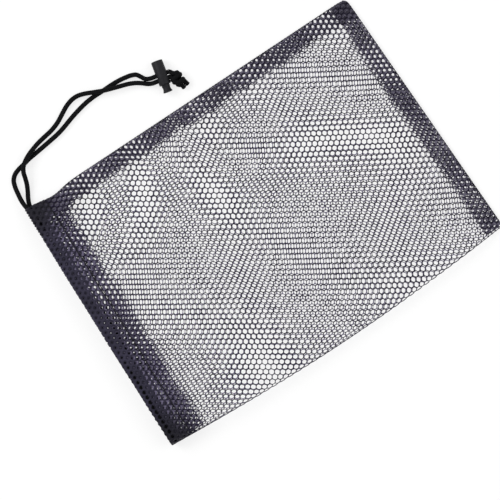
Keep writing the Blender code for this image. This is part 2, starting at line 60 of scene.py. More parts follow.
HALF_LENGTH = 155.3
MOUTH_X, MOUTH_SLANT = -152.4, 0.0265
END_X, END_SLANT = 153.5, 0.0205
END_CORNER = 6.0
PANEL_INSET = 0.4
SEAM_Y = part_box("net_back_panel")[1].y / MM + PANEL_INSET
FOLD_Y, FOLD_BOW = -105.0, 6.8
MOUTH_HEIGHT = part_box("net_front_panel")[1].z / MM
MIDDLE_HEIGHT = 11.5
SEAM_HEIGHT = 3.7
EXIT_HEIGHT = 11.0
END_SLOPE, SIDE_SLOPE, EXIT_RUN = 45.0, 42.0, 30.0
SETTLE_SHARE = 0.6
CHANNEL = 18.4
CHANNEL_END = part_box("mouth_channel_back")[1].y / MM
CHANNEL_THIN, CHANNEL_THICK = 1.5, 5.4
CHANNEL_LEAD = 0.3
CREST, CREST_RUN = 1.4, 5.5
CORD_DEPTH = 2.7
BACK_CORD, FRONT_CORD, EXIT_CORD, EXIT_SHIFT = 8.0, 2.75, 4.2, 30.0
FOLD_CENTRE = -97.0
GAP = 0.3
SIDE_FLAP, END_FLAP, HEM_FLAP = 15.0, 14.0, 10.7
FLAP_WAVE, FLAP_WAVES = 0.9, 5
CORD_R = 1.9
EXIT_DIP, DIP_X, DIP_RUN, DIP_DEPTH = 2.7, -125.0, 12.0, 26.0

# Net: cells in columns across the bag, each column half a cell along from its neighbours
COLUMN = 3.66
ROW = 4.8
FLAT_BAR = 0.32
SLANT_BAR = 0.265
ROUNDING = 9.0
STRAND_RISE = 0.27
NODE_RISE = 0.34
RISE_VARIES, KNOTS_VARY, HOLES_VARY = 0.12, 0.06, 0.03
NET_DEPTH = 0.4
LAYER_STEP = 0.85

# How the net is rolled over at its edges, pinched by stitching and sagging between its folds
EDGE_ROLL, EDGE_RUN = 0.45, 1.2
STITCH_GAP = 0.55
TURN_RUN = 2.0
SEAM_GAP, SEAM_RUN, SEAM_RUN_SHARE = 0.35, 2.2, 0.5
SAG_LARGE, SAG_SMALL, SAG_BIAS = 0.35, 0.25, 0.4
SAG_RUN, SAG_MOUTH_RUN = 30.0, 25.0

# Share of a hole's width that is left where the net is gathered
OPEN_ALLOWANCE, CORNER_GATHER, SIDE_GATHER = 0.80, 0.40, 0.20
SIDE_GATHER_FROM, SIDE_GATHER_RUN = 15.0, 90.0
FOLD_GATHER_RUN, FOLD_GATHER_PAST = 16.0, 4.0
EXIT_GATHER_RUN, EXIT_GATHER_PAST, EXIT_GATHER_SHARE = 22.0, 17.0, 0.6
# The same share by distance from the mouth edge, on the outer front and on the other layers
OPEN_AT = (0.0, 3.6, 4.6, 5.4, 6.6, 9.0, 11.0, 14.0, 18.4, 21.0, 25.0, 29.0, 33.0)
OPEN_OUTER = (0.24, 0.26, 0.90, 0.70, 0.30, 0.36, 0.80, 0.97, 0.97, 1.0, 1.0, 1.0, 1.0)
OPEN_INNER = (0.36, 0.60, 0.95, 0.75, 0.60, 0.60, 0.66, 0.76, 0.76, 0.76, 0.86, 0.94, 1.0)


def smooth(t):
    t = np.clip(t, 0.0, 1.0)
    return t * t * (3.0 - 2.0 * t)


def shoulder(t):
    return np.sin(0.5 * math.pi * np.clip(t, 0.0, 1.0))


def bell(t):
    return np.exp(-(t**2))


def mouth_x(y):
    return MOUTH_X + MOUTH_SLANT * y


def stitch_x(y):
    return mouth_x(y) + CHANNEL


def end_line(y):
    return END_X - END_SLANT * y


def end_x(y):
    corner = np.clip(np.abs(y) - (SEAM_Y - END_CORNER), 0.0, END_CORNER)
    return end_line(y) - (END_CORNER - np.sqrt(END_CORNER**2 - corner**2))


def fold_y(x):
    return FOLD_Y - FOLD_BOW * np.sin(math.pi * (np.clip(x, -HALF_LENGTH, HALF_LENGTH) + HALF_LENGTH)
                                      / (2.0 * HALF_LENGTH))


def loft_height(x):
    run = (x - stitch_x(0.0)) / (END_X - stitch_x(0.0))
    middle = MOUTH_HEIGHT + (MIDDLE_HEIGHT - MOUTH_HEIGHT) * smooth(run / SETTLE_SHARE)
    return SEAM_HEIGHT + (middle - SEAM_HEIGHT) * shoulder((END_X - x) / END_SLOPE)


def front_height(x, y):
    side = SEAM_HEIGHT + (EXIT_HEIGHT - SEAM_HEIGHT) * (1.0 - smooth((x - stitch_x(y)) / EXIT_RUN))
    top = np.maximum(loft_height(x), side)
    return side + (top - side) * shoulder((SEAM_Y - y) / SIDE_SLOPE)


def exit_dip(x, y):
    """How far the sewn side is drawn in beside the cord's exit."""
    return EXIT_DIP * bell((x - DIP_X) / DIP_RUN) * smooth((y - SEAM_Y + DIP_DEPTH) / DIP_DEPTH)


def back_cord(y):
    return BACK_CORD + (EXIT_CORD - BACK_CORD) * smooth((y - (CHANNEL_END - EXIT_SHIFT)) / EXIT_SHIFT)


# ---------------------------------------------------------------- how the front net lies over the back net

# Fold to sewn side, along the cloth
CLOTH_WIDTH = 226.5
# Where the rows of the two nets agree, and by how many rows they part for each millimetre from there: at the
# fold, and what is added towards the sewn side
SKEW_CENTRE = -14.0
FOLD_SKEW, SEAM_SKEW, SKEW_POWER = 0.0135, 0.0445, 1.3
SETTLING_PASSES = 10


def fold_skew(x):
    """How far, in rows of holes, the front rows are ahead of the back rows at the fold."""
    return FOLD_SKEW * (x - SKEW_CENTRE)


def slips(x, w):
    """How far the front net is shifted over the back one along the bag and across it, and what both share."""
    v = np.clip(w / CLOTH_WIDTH, 0.0, 1.0)
    u = x - SKEW_CENTRE
    # rows of holes that the two nets part by, easing off away from where they agree
    slope = FOLD_SKEW + SEAM_SKEW * v**SKEW_POWER
    easing = 0.012 * bell((v - 0.52) / 0.20)
    towards_end = 0.0058 * smooth((v - 0.6) / 0.2)
    towards_mouth = 0.003 * smooth((v - 0.85) / 0.15)
    easing = easing + np.where(u > 0.0, towards_end, towards_mouth)
    rows = slope * u / (1.0 + np.abs(u) * easing)
    rows += 0.75 * smooth((x - 85.0) / 60.0) * smooth((v - 0.3) / 0.2)
    # columns that they part by: more towards the sewn side, most in mid-bag and at the closed end
    along = 1.3 * v + 0.8 * smooth((v - 0.5) / 0.45) * bell((x - 22.0) / 45.0)
    along += 0.35 * smooth((x - 60.0) / 60.0) * smooth((v - 0.45) / 0.3)
    # the rows of both nets drift across the bag, away from its middle
    shared = 0.022 * (x - 10.0) * smooth(v / 0.55) * (1.0 - 0.8 * smooth((v - 0.6) / 0.4))
    return COLUMN * along, 0.5 * ROW * (rows - fold_skew(x)), shared


def fold_offset(x):
    """The fold runs a little askew to the rows of holes."""
    return -0.25 * ROW * (fold_skew(x) + 1.0)


def cloth_place(p, q, side):
    """Where a point of the flat cloth comes to lie: along the bag, and along the cloth from the fold."""
    x, w = p.copy(), np.abs(q)
    for _ in range(SETTLING_PASSES):
        along, across, shared = slips(x, w)
        x = p + side * 0.5 * np.where(w > 0.0, along, 0.0)
        w = side * (q - fold_offset(x) + 0.5 * across) + shared
    return x, w


def sleeve_depth(s, cord):
    """Depth of the channel's inner wall below its outer face."""
    crest_low, crest_high = cord - CREST, cord + CREST
    rise = smooth((s + CHANNEL_LEAD) / (crest_low + CHANNEL_LEAD))
    fall = smooth((cord + CREST_RUN - s) / (CREST_RUN - CREST))
    hump = np.where(s < crest_low, rise, np.where(s > crest_high, fall, 1.0))
    return CHANNEL_THIN - NET_DEPTH + (CHANNEL_THICK - CHANNEL_THIN) * hump


def cloth_depth(y, from_mouth, inner_channel, turning, angle, side):
    """Depth below the bag's outer face: rolled over at the mouth edge and pinched at the stitch line."""
    cord = np.where(side > 0, FRONT_CORD, back_cord(y))
    turn_share = smooth(0.5 + 0.5 * np.sin(angle) * side)
    cord = np.where(turning, BACK_CORD + (FRONT_CORD - BACK_CORD) * turn_share, cord)
    edge_roll = EDGE_ROLL * (1.0 - smooth(from_mouth / EDGE_RUN))
    wall = np.where(from_mouth < CHANNEL, sleeve_depth(from_mouth, cord), NET_DEPTH + LAYER_STEP)
    pinch_at_stitch = 1.0 - smooth(np.abs(from_mouth - CHANNEL) / EDGE_RUN)
    wall = wall + (NET_DEPTH + STITCH_GAP - wall) * pinch_at_stitch
    return np.where(inner_channel, wall - edge_roll, NET_DEPTH + edge_roll)


def drawn_together(depth, x, y, top, side_gap, end_gap):
    """The depth where the two nets come together at the sewn edges."""
    on_panel = smooth((x - stitch_x(y) + 1.0) / 6.0)
    near_side = 1.0 - smooth(side_gap / (SEAM_RUN + SEAM_RUN_SHARE * (top - SEAM_HEIGHT)))
    near_end = 1.0 - smooth(end_gap / SEAM_RUN)
    return depth + np.maximum(0.5 * top - SEAM_GAP - depth, 0.0) * np.maximum(near_side, near_end) * on_panel


def front_sag(x, y, from_mouth, side_gap, end_gap):
    """How far the front net rises and sags between the folds it was packed in."""
    sag = SAG_LARGE * np.sin(x / 19.0 + 0.6) * np.sin(y / 27.0 - 0.8) + SAG_SMALL * np.sin(x / 9.5 + y / 14.0)
    sag = sag * smooth(side_gap / SAG_RUN) * smooth(end_gap / SAG_RUN)
    sag = sag * smooth((from_mouth - CHANNEL) / SAG_MOUTH_RUN)
    return sag - SAG_BIAS * np.abs(sag)


def place(p, q, rise, side):
    """A point of the sewn bag for a point and rise of the flat cloth. side is 1 in front and -1 behind."""
    x, w = cloth_place(p, q, side)
    # across the bag: round the fold, flat, then turned inside at the sewn side
    heights_x = np.maximum(x, stitch_x(0.0))
    outer = 0.5 * loft_height(np.minimum(heights_x, END_X))
    mid = outer - NET_DEPTH
    quarter = 0.5 * math.pi * mid
    fold = fold_y(x)
    whole = quarter + SEAM_Y - NET_DEPTH - fold - outer
    t = w * whole / CLOTH_WIDTH
    beyond_side = np.maximum(w - CLOTH_WIDTH, 0.0)
    flat_y = fold + outer + (t - quarter)
    y = np.where(w > CLOTH_WIDTH, SEAM_Y - NET_DEPTH - beyond_side, flat_y)
    turning = t < quarter
    angle = np.where(turning, t / mid, 0.0)
    y = np.where(turning, fold + outer - mid * np.cos(angle), y)
    # along the bag: turned inside at the mouth and at the closed end
    s = x - mouth_x(y)
    inner_channel = s < 0.0
    from_mouth = np.abs(s)
    beyond_end = np.maximum(x - end_line(y) + NET_DEPTH, 0.0)
    x = np.where(inner_channel, mouth_x(y) + from_mouth, x)
    x = np.where(beyond_end > 0.0, end_line(y) - NET_DEPTH - beyond_end, x)
    x = np.minimum(x, end_x(y) - NET_DEPTH)
    # depth below the bag's outer face
    depth = cloth_depth(y, from_mouth, inner_channel, turning, angle, side)
    depth = depth + LAYER_STEP * (smooth(beyond_side / TURN_RUN) + 0.8 * smooth(beyond_end / TURN_RUN))
    height_x = np.maximum(x, stitch_x(y))
    top = front_height(np.minimum(height_x, END_X), y)
    side_gap = np.where(beyond_side > 0.0, beyond_side, SEAM_Y - NET_DEPTH - y)
    end_gap = np.where(beyond_end > 0.0, beyond_end, end_x(y) - NET_DEPTH - x)
    depth = drawn_together(depth, x, y, top, side_gap, end_gap)
    # where the cloth is turned in, its outer side faces inwards
    flips = np.where(inner_channel, -1.0, 1.0) * np.where(beyond_side > 0, -1.0, 1.0)
    flips = flips * np.where(beyond_end > 0, -1.0, 1.0)
    level = np.where(side > 0, top - depth + front_sag(x, y, from_mouth, side_gap, end_gap), depth)
    level = level + np.where(side > 0, 1.0, -1.0) * flips * rise
    radial = outer - depth + flips * rise
    turned_y = fold + outer - radial * np.cos(angle)
    turned_z = outer + side * radial * np.sin(angle)
    y = np.where(turning, turned_y, y)
    z = np.where(turning, turned_z, level)
    return np.stack((x, y - exit_dip(x, y), z), axis=-1)


# ---------------------------------------------------------------- net mesh

# Points round a cell: its six corners and the middle of each side
RING = 12


def cell_rings():
    """Outline of one cell and of its hole round the cell's centre, and how high each point's strand rises."""
    half = 0.5 * ROW
    reach = 0.5 * (COLUMN**2 + half**2)
    side, top = reach / COLUMN, (reach - half**2) / COLUMN
    corners = np.array([(side, 0), (top, half), (-top, half), (-side, 0), (-top, -half), (top, -half)])
    outline = np.empty((RING, 2))
    outline[0::2] = corners
    outline[1::2] = 0.5 * (corners + np.roll(corners, -1, axis=0))
    bars = 0.5 * (corners + np.roll(corners, -1, axis=0))
    spans = np.roll(corners, -1, axis=0) - corners
    normals = np.stack((spans[:, 1], -spans[:, 0]), axis=1)
    normals /= np.linalg.norm(normals, axis=1)[:, None]
    reaches = np.sum(bars * normals, axis=1)
    widths = np.where(np.abs(normals[:, 0]) < 0.1, FLAT_BAR, SLANT_BAR)
    hole = np.empty((RING, 2))
    for k, point in enumerate(outline):
        way = point / np.linalg.norm(point)
        facing = np.clip(normals @ way, 0.0, None) / (reaches - widths)
        hole[k] = way / np.sum(facing**ROUNDING) ** (1.0 / ROUNDING)
    rises = np.tile((NODE_RISE, STRAND_RISE), RING // 2)
    return outline, hole, rises


def hole_share():
    """Share of a cell that its hole takes."""
    hole = cell_rings()[1]
    ahead = np.roll(hole, -1, axis=0)
    return 0.5 * np.sum(hole[:, 0] * ahead[:, 1] - hole[:, 1] * ahead[:, 0]) / (COLUMN * ROW)


def cell_centres():
    """Centres of the cells that cover the flat cloth."""
    columns = np.arange(-54, 52)
    rows = np.arange(-58, 58)
    i, j = np.meshgrid(columns, rows, indexing="ij")
    return np.stack((i * COLUMN, (j + 0.5 * (i % 2)) * ROW), axis=-1).reshape(-1, 2)


NOTHING, PANEL, CHANNEL_WALL, HEM, SIDE_ALLOWANCE, END_ALLOWANCE = range(6)
# Cloth that the fold takes up before the cloth lies flat
FOLD_TAKES = 3.0


def hole_widths(s, w, zone, side):
    """Share of each hole's width that is left open, because stitching and the cord gather the net. s is the
    distance from the mouth edge, below 0 where the cloth is turned in, and w the distance from the fold."""
    from_mouth = np.abs(s)
    on_outer = np.interp(from_mouth, OPEN_AT, OPEN_OUTER)
    on_inner = np.interp(from_mouth, OPEN_AT, OPEN_INNER)
    share = np.where((s >= 0.0) & (side > 0), on_outer, on_inner)
    share = share * np.where(zone >= SIDE_ALLOWANCE, OPEN_ALLOWANCE, 1.0)
    near_exit = 1.0 - smooth((s - SIDE_GATHER_FROM) / SIDE_GATHER_RUN)
    share = share * np.where(zone == SIDE_ALLOWANCE, 1.0 - SIDE_GATHER * near_exit, 1.0)
    at_fold = 1.0 - smooth(w / FOLD_GATHER_RUN)
    at_fold = at_fold * (1.0 - smooth((from_mouth - CHANNEL) / FOLD_GATHER_PAST))
    at_exit = 1.0 - smooth((CLOTH_WIDTH - w) / EXIT_GATHER_RUN)
    at_exit = at_exit * (1.0 - smooth((from_mouth - EXIT_GATHER_SHARE * CHANNEL) / EXIT_GATHER_PAST))
    return share * (1.0 - CORNER_GATHER * np.maximum(at_fold, at_exit))


def cell_zone(centres, side):
    """Each cell's zone, the share of its hole's width left open, and whether it is turned in at the mouth."""
    p, q = centres[:, 0], centres[:, 1]
    x, w = cloth_place(p, q, side)
    beyond_side = w - CLOTH_WIDTH
    flat_y = np.minimum(fold_y(x) + np.maximum(w - FOLD_TAKES, 0.0), SEAM_Y)
    y = np.where(beyond_side > 0, SEAM_Y - beyond_side, flat_y)
    s = x - mouth_x(y)
    beyond_end = x - end_line(y)
    wave = FLAP_WAVE * np.sin(2.0 * math.pi * FLAP_WAVES * x / (2.0 * HALF_LENGTH) + 0.8 * side)
    zone = np.full(len(p), PANEL)
    zone = np.where(s < CHANNEL, CHANNEL_WALL, zone)
    zone = np.where(s < -CHANNEL, HEM, zone)
    zone = np.where(beyond_side > 0, SIDE_ALLOWANCE, zone)
    zone = np.where(beyond_end > 0, END_ALLOWANCE, zone)
    gone = (w < 0) if side > 0 else (w <= 0)
    gone |= (beyond_side > SIDE_FLAP + wave) | (beyond_end > END_FLAP) | (s < -(CHANNEL + HEM_FLAP))
    return np.where(gone, NOTHING, zone), hole_widths(s, w, zone, side), s < -COLUMN


def mesh_from(name, points, quads):
    """A mesh from points in millimetres and rows of four indices."""
    mesh = bpy.data.meshes.new(name)
    mesh.vertices.add(len(points))
    mesh.vertices.foreach_set("co", (points * MM).astype(np.float32).ravel())
    mesh.loops.add(4 * len(quads))
    mesh.loops.foreach_set("vertex_index", quads.astype(np.int32).ravel())
    mesh.polygons.add(len(quads))
    mesh.polygons.foreach_set("loop_start", np.arange(0, 4 * len(quads), 4, dtype=np.int32))
    mesh.update(calc_edges=True)
    mesh.shade_smooth()
    return mesh


def piece(name, mesh, look, body, nodes=()):
    ob = bpy.data.objects.new(name, mesh)
    bpy.context.scene.collection.objects.link(ob)
    ob.data.materials.append(look)
    if body:
        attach(ob, body)
    if nodes:
        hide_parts(*nodes)
    return ob


def net_mesh(name, centres, side, openness):
    """Lens-shaped strands round every hole of the given cells. openness scales each hole.

    The upper faces come first, then as many lower faces, in the order of the cells."""
    outline, hole, rises = cell_rings()
    count = len(centres)
    crest = (centres[:, None, :] + outline[None]).reshape(-1, 2)
    _, first, index = np.unique(np.round(crest, 3), axis=0, return_index=True, return_inverse=True)
    index = index.reshape(count, RING)
    crest_rise = np.tile(rises, count)[first]
    wobble = 1.0 + RISE_VARIES * RANDOM.standard_normal(len(first)).clip(-2, 2)
    knots = crest[first] + KNOTS_VARY * RANDOM.standard_normal((len(first), 2)).clip(-2, 2)
    top = place(knots[:, 0], knots[:, 1], crest_rise * wobble, side)
    bottom = place(knots[:, 0], knots[:, 1], -crest_rise * wobble, side)
    sizes = openness[:, None, None] * (1.0 + HOLES_VARY * RANDOM.standard_normal((count, 1, 1)).clip(-2, 2))
    inner = (centres[:, None, :] + hole[None] * sizes).reshape(-1, 2)
    middle = place(inner[:, 0], inner[:, 1], np.zeros(len(inner)), side)
    points = np.concatenate((top, bottom, middle))
    low = index + len(top)
    ring = np.arange(RING * count).reshape(count, RING) + 2 * len(top)
    ahead = np.roll(np.arange(RING), -1)
    upper = np.stack((index, index[:, ahead], ring[:, ahead], ring), axis=-1)
    lower = np.stack((low, ring, ring[:, ahead], low[:, ahead]), axis=-1)
    # close the strands along the border of the piece
    starts, ends = index.ravel(), index[:, ahead].ravel()
    spans = np.sort(np.stack((starts, ends), axis=1), axis=1)
    _, which, uses = np.unique(spans, axis=0, return_inverse=True, return_counts=True)
    border = uses[which.ravel()] == 1
    starts, ends = starts[border], ends[border]
    wall = np.stack((ends, starts, starts + len(top), ends + len(top)), axis=-1)
    quads = np.concatenate((upper.reshape(-1, 4), lower.reshape(-1, 4), wall))
    return mesh_from(name, points, quads)


# ---------------------------------------------------------------- materials

def nodes_of(name):
    """A new material, its node tree and its shader."""
    look = bpy.data.materials.new(name)
    look.use_nodes = True
    tree = look.node_tree
    return look, tree, tree.nodes["Principled BSDF"]


def noise(tree, scale, detail=3.0):
    """A value that varies over the piece. scale is the number of patches in a metre."""
    coords = tree.nodes.new("ShaderNodeTexCoord")
    texture = tree.nodes.new("ShaderNodeTexNoise")
    texture.inputs["Scale"].default_value = scale
    texture.inputs["Detail"].default_value = detail
    tree.links.new(coords.outputs["Object"], texture.inputs["Vector"])
    return texture.outputs["Fac"]


def ramp(tree, value, low, high):
    """Colour between two colours by a value."""
    made = tree.nodes.new("ShaderNodeValToRGB")
    made.color_ramp.elements[0].position = 0.3
    made.color_ramp.elements[1].position = 0.7
    made.color_ramp.elements[0].color = (*low, 1.0)
    made.color_ramp.elements[1].color = (*high, 1.0)
    tree.links.new(value, made.inputs["Fac"])
    return made.outputs["Color"]


def bump(tree, shader, value, strength, distance):
    made = tree.nodes.new("ShaderNodeBump")
    made.inputs["Strength"].default_value = strength
    made.inputs["Distance"].default_value = distance
    tree.links.new(value, made.inputs["Height"])
    tree.links.new(made.outputs["Normal"], shader.inputs["Normal"])


SHEEN_TINT = (0.72, 0.68, 0.98, 1.0)
SHEEN_ROUGHNESS = 0.4
BUMP_STRENGTH, BUMP_DETAIL = 0.6, 2.0


def speckled(name, low, high, roughness, specular, patches, grain, grain_height, sheen=0.0):
    """A look whose colour goes between low and high in patches. Patches and grain are numbers in a metre, and
    the grain's height is in metres."""
    look, tree, shader = nodes_of(name)
    tree.links.new(ramp(tree, noise(tree, patches), low, high), shader.inputs["Base Color"])
    shader.inputs["Roughness"].default_value = roughness
    shader.inputs["Specular IOR Level"].default_value = specular
    shader.inputs["Sheen Weight"].default_value = sheen
    shader.inputs["Sheen Roughness"].default_value = SHEEN_ROUGHNESS
    shader.inputs["Sheen Tint"].default_value = SHEEN_TINT
    bump(tree, shader, noise(tree, grain, BUMP_DETAIL), BUMP_STRENGTH, grain_height)
    return look


GATHERED_CORE = 0.35


def painted_shade_near(look, spots, radius, share):
    """Painted shade: the look's colour falls to a share of itself towards each of the spots, where the
    gathered net lies in packed layers.
    """
    tree = look.node_tree
    base = tree.nodes["Principled BSDF"].inputs["Base Color"]
    for spot in spots:
        coords = tree.nodes.new("ShaderNodeTexCoord")
        away = tree.nodes.new("ShaderNodeVectorMath")
        away.operation = "DISTANCE"
        away.inputs[1].default_value = [v * MM for v in spot]
        tree.links.new(coords.outputs["Object"], away.inputs[0])
        reach = tree.nodes.new("ShaderNodeMapRange")
        reach.interpolation_type = "SMOOTHSTEP"
        reach.inputs["From Min"].default_value = GATHERED_CORE * radius * MM
        reach.inputs["From Max"].default_value = radius * MM
        reach.inputs["To Min"].default_value = share
        tree.links.new(away.outputs["Value"], reach.inputs["Value"])
        scaled = tree.nodes.new("ShaderNodeVectorMath")
        scaled.operation = "SCALE"
        tree.links.new(base.links[0].from_socket, scaled.inputs[0])
        tree.links.new(reach.outputs["Result"], scaled.inputs["Scale"])
        tree.links.new(scaled.outputs["Vector"], base)


def net_yarn(name, low, high, specular, sheen):
    return speckled(name, low, high, 0.7, specular,
                    patches=60.0, grain=2600.0, grain_height=0.00008, sheen=sheen)


# Painted light: the yarn lets some light through, which the shader doesn't do, so the channel, the inner
# layers and the allowances are painted paler and more violet where they lie close to the pale surface; the
# outer front keeps the yarn's own near-black
net_look = net_yarn("net_outer", (0.007, 0.005, 0.015), (0.015, 0.011, 0.032), 0.12, 0.04)
channel_painted_look = net_yarn("net_channel", (0.018, 0.016, 0.032), (0.034, 0.030, 0.057), 0.25, 0.05)
inner_painted_look = net_yarn("net_inner", (0.13, 0.115, 0.183), (0.19, 0.168, 0.268), 0.25, 0.05)
allowance_painted_look = net_yarn("net_allowance", (0.110, 0.101, 0.143), (0.165, 0.151, 0.211), 0.2, 0.05)
# Painted shade: the paler looks darken towards the gathered corners of the mouth, and the allowances also
# towards the corner of the sewn end
GATHERED_CORNERS = ((mouth_x(SEAM_Y), SEAM_Y, 5.0), (mouth_x(FOLD_Y), FOLD_Y, 7.0))
painted_shade_near(channel_painted_look, GATHERED_CORNERS, 38.0, 0.28)
painted_shade_near(inner_painted_look, GATHERED_CORNERS, 38.0, 0.15)
painted_shade_near(allowance_painted_look, GATHERED_CORNERS, 38.0, 0.15)
painted_shade_near(allowance_painted_look, ((end_line(SEAM_Y), SEAM_Y, 2.0),), 24.0, 0.6)
thread_look = speckled("sewing_thread", (0.004, 0.004, 0.006), (0.010, 0.009, 0.013), 0.6, 0.25,
                       patches=400.0, grain=3500.0, grain_height=0.00005)
cord_look = speckled("braided_drawcord", (0.0025, 0.0025, 0.003), (0.006, 0.006, 0.007), 0.8, 0.10,
                     patches=900.0, grain=2500.0, grain_height=0.00008)
plastic_look = speckled("lock_plastic", (0.011, 0.011, 0.013), (0.018, 0.018, 0.021), 0.5, 0.16,
                        patches=250.0, grain=1500.0, grain_height=0.00006)


def steel():
    look, tree, shader = nodes_of("spring_steel")
    tree.links.new(ramp(tree, noise(tree, 800.0), (0.50, 0.50, 0.49), (0.68, 0.68, 0.66)),
                   shader.inputs["Base Color"])
    shader.inputs["Metallic"].default_value = 1.0
    shader.inputs["Roughness"].default_value = 0.3
    return look


steel_look = steel()

# ---------------------------------------------------------------- camera

LOOK_AT = Vector((-20.2, -11.3, 0.0)) * MM
TURN = math.radians(33.5)
# In metres: the camera's height, the level of the net that it looks at and the width that it sees there
CAMERA_HEIGHT, NET_LEVEL, VIEW_WIDTH = 1.6, 0.006, 0.390

camera_data = bpy.data.cameras.new("camera")
camera = bpy.data.objects.new("camera", camera_data)
bpy.context.scene.collection.objects.link(camera)
camera.location = LOOK_AT + Vector((0.0, 0.0, CAMERA_HEIGHT))
camera.rotation_euler = (0.0, 0.0, -TURN)
camera_data.lens = camera_data.sensor_width * (CAMERA_HEIGHT - NET_LEVEL) / VIEW_WIDTH
camera_data.clip_start = 0.05
camera_data.clip_end = 20.0
bpy.context.scene.camera = camera

# ---------------------------------------------------------------- cords

LOCK_ANGLE = math.radians(12.6)
LOCK_CENTRE = Vector((-2.6, 139.2, 4.7))
LOCK_ALONG = Vector((math.cos(LOCK_ANGLE), -math.sin(LOCK_ANGLE), 0.0))
LOCK_AXIS = Vector((math.sin(LOCK_ANGLE), math.cos(LOCK_ANGLE), 0.0))
PAIR_OFFSET = 2.05
STRAIGHT = 9.0
CORD_STEP = 0.42
KNOT_CENTRE = (10.3, -3.3)
KNOT_RADII = (5.0, 6.4, 4.7)
STRAND_A = [
    (-146.8, 110.5, 8.5), (-147.5, 114.5, 7.4), (-147.7, 119.5, 5.3), (-147.2, 125.0, 3.1),
    (-146.2, 131.0, 2.0), (-144.3, 136.0, 1.97), (-141.0, 139.2, 1.97), (-136.5, 141.0, 1.97),
    (-131.5, 142.0, 1.97), (-125.5, 143.4, 1.97), (-118.1, 144.3, 1.97), (-109.8, 145.3, 1.97),
    (-101.4, 146.4, 1.97), (-95.5, 147.3, 1.97), (-88.9, 148.9, 1.97), (-80.6, 151.5, 1.97),
    (-72.3, 153.7, 1.97), (-63.9, 155.4, 1.97), (-55.6, 156.1, 1.97), (-47.3, 156.0, 1.97),
    (-38.9, 156.1, 1.97), (-31.5, 155.6, 2.2), (-26.8, 154.8, 2.8), (-22.4, 153.7, 3.4),
    (-18.7, 151.8, 4.1), (-16.6, 148.4, 4.6), (-14.5, 145.0, 4.7),
]
STRAND_B = [
    (-145.2, 110.5, 2.7), (-144.2, 114.5, 2.3), (-142.3, 118.6, 2.0), (-139.8, 122.8, 2.4),
    (-137.3, 127.5, 3.7), (-135.6, 132.0, 5.0), (-134.3, 136.2, 5.9), (-131.9, 140.2, 6.2),
    (-127.8, 143.4, 6.2), (-123.0, 145.9, 6.0), (-117.6, 148.0, 4.8), (-111.4, 149.9, 3.0),
    (-104.8, 151.2, 2.05), (-98.0, 152.4, 1.97), (-90.6, 154.9, 1.97), (-83.9, 158.5, 1.97),
    (-77.0, 162.0, 1.97), (-71.0, 163.6, 2.2), (-65.6, 163.4, 3.1), (-59.8, 161.4, 4.7),
    (-54.0, 158.6, 5.9), (-47.3, 155.6, 6.2), (-39.5, 152.9, 6.0), (-33.5, 151.0, 5.4),
    (-30.0, 149.9, 5.1), (-26.3, 148.5, 4.8), (-22.1, 146.3, 4.7), (-18.5, 143.7, 4.7),
    (-15.1, 140.8, 4.7),
]


def lock_point(along, across, rise=0.0):
    """A point from distances along the cords, across them and above them, from the middle of the lock."""
    return LOCK_CENTRE + LOCK_ALONG * along + LOCK_AXIS * across + Vector((0.0, 0.0, rise))


def runs_along(path):
    """Distance along the path at each of its points."""
    return np.concatenate(([0.0], np.cumsum(np.linalg.norm(np.diff(path, axis=0), axis=1))))


def evenly(points, step):
    """Evenly spaced points along a chain of points."""
    runs = runs_along(points)
    wanted = np.linspace(0.0, runs[-1], max(int(round(runs[-1] / step)), 1) + 1)
    return np.stack([np.interp(wanted, runs, points[:, axis]) for axis in range(3)], axis=1)


SPLINE_STEPS = 12


def smooth_route(points, step):
    """Evenly spaced points along a smooth curve through the given ones, a centripetal Catmull-Rom spline."""
    places = np.array([tuple(p) for p in points], float)
    gaps = np.sqrt(np.linalg.norm(np.diff(places, axis=0), axis=1))
    knots = np.concatenate(([0.0], np.cumsum(gaps)))
    ends = (2.0 * places[0] - places[1], 2.0 * places[-1] - places[-2])
    places = np.vstack((ends[0], places, ends[1]))
    knots = np.concatenate(([2.0 * knots[0] - knots[1]], knots, [2.0 * knots[-1] - knots[-2]]))
    fine = []
    for i in range(1, len(places) - 2):
        p, k = places[i - 1:i + 3], knots[i - 1:i + 3]
        for t in np.linspace(k[1], k[2], SPLINE_STEPS, endpoint=False):
            a = [((k[j + 1] - t) * p[j] + (t - k[j]) * p[j + 1]) / (k[j + 1] - k[j]) for j in range(3)]
            b = [((k[j + 2] - t) * a[j] + (t - k[j]) * a[j + 1]) / (k[j + 2] - k[j]) for j in range(2)]
            fine.append(((k[2] - t) * b[0] + (t - k[1]) * b[1]) / (k[2] - k[1]))
    fine.append(places[-2])
    return evenly(np.array(fine), step)


def rings_along(path):
    """Two unit vectors across the path at each point, without twist."""
    tangents = np.gradient(path, axis=0)
    tangents /= np.linalg.norm(tangents, axis=1)[:, None]
    start = np.cross(tangents[0], (0.0, 0.0, 1.0))
    if np.linalg.norm(start) < 0.1:
        start = np.cross(tangents[0], (1.0, 0.0, 0.0))
    across = [start / np.linalg.norm(start)]
    for tangent in tangents[1:]:
        last = across[-1] - tangent * np.dot(across[-1], tangent)
        across.append(last / np.linalg.norm(last))
    across = np.array(across)
    return across, np.cross(tangents, across)


BRAID_PITCH = 3.4
BRAID_PAIRS = 4
BRAID_RELIEF = 0.055
BRAID_SINK = 0.6


